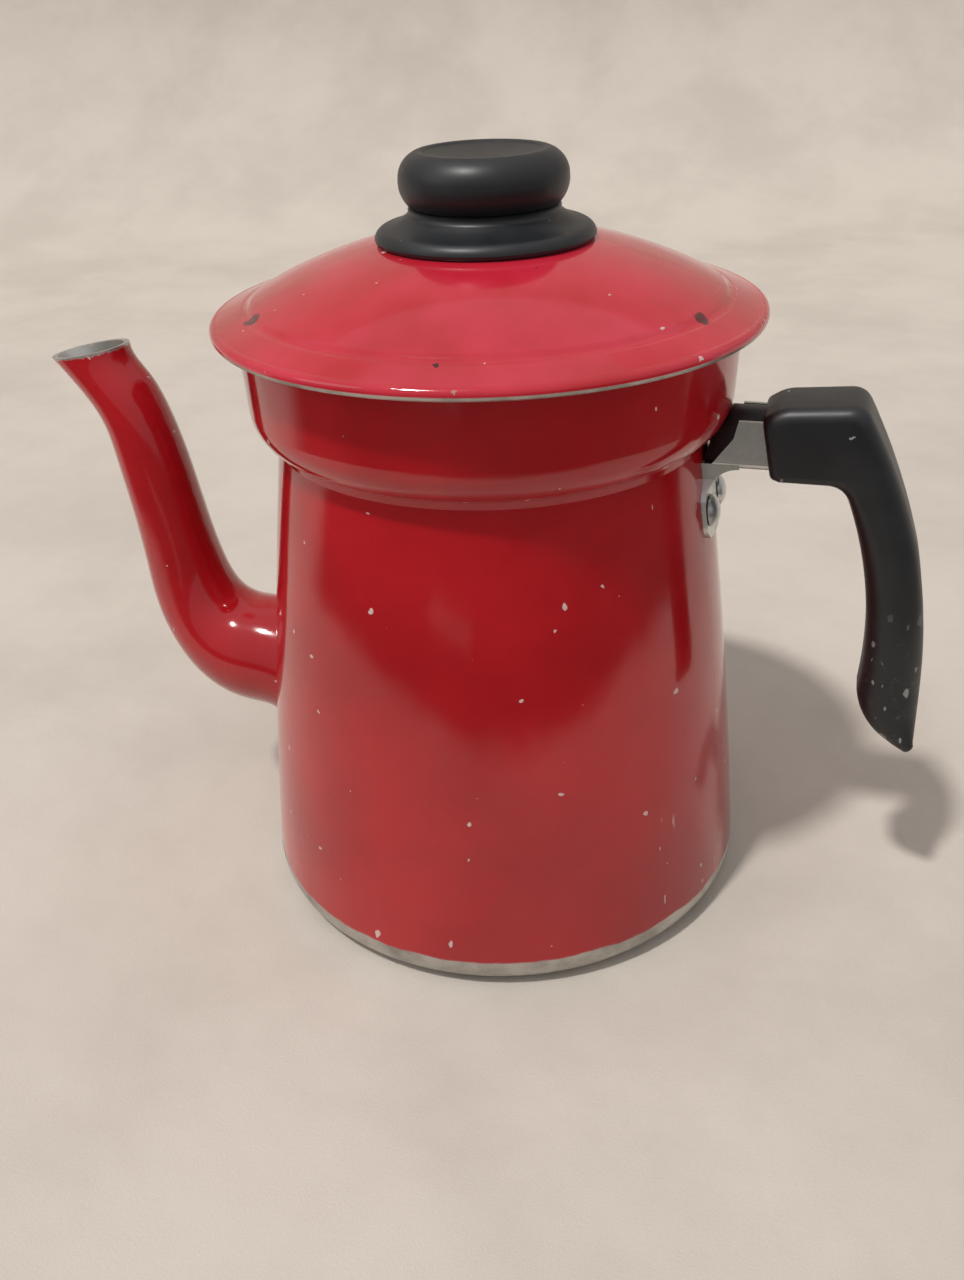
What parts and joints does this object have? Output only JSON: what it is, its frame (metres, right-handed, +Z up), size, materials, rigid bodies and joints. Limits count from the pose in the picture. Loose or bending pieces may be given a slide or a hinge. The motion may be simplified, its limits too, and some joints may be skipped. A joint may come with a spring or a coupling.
{
  "type": "coffee pot",
  "caption": "Tapered coffee pot with a rounded collar, swan-neck spout, lift-off domed lid with a stepped knob, and a free-end side handle on a riveted bracket.",
  "frame": {"origin": "centre of the flat base, on the surface that the pot stands on", "axes": "+Z up, the spout points along -X and the handle along +X, the XZ plane is the plane of symmetry"},
  "size_m": [0.2489, 0.1424, 0.2049],
  "materials": {
    "red_paint": "glossy red enamel paint on aluminium sheet, worn and chipped at edges, left bare on the rounded bottom edge and inside",
    "black_phenolic": "satin black moulded phenolic, lightly scuffed",
    "bracket_metal": "polished sheet, slightly greenish where worn",
    "rivet_metal": "polished domed heads",
    "steel": "plated",
    "brass": "turned"
  },
  "bodies": {
    "pot": {"pot_body": "red_paint", "spout": "red_paint", "handle_bracket": "bracket_metal", "bracket_rivets": "rivet_metal", "handle_grip": "black_phenolic", "handle_insert": "brass", "handle_screw": "steel", "handle_screw_washer": "steel"},
    "lid": {"lid": "red_paint", "knob_base": "black_phenolic", "knob_grip": "black_phenolic", "knob_insert": "brass", "knob_screw": "steel", "knob_washer": "steel"}
  },
  "joints": [
    {"name": "lid_lift", "type": "slide", "parent": "pot", "child": "lid", "axis": [0, 0, 1], "range_m": [0, 0.1]}
  ]
}
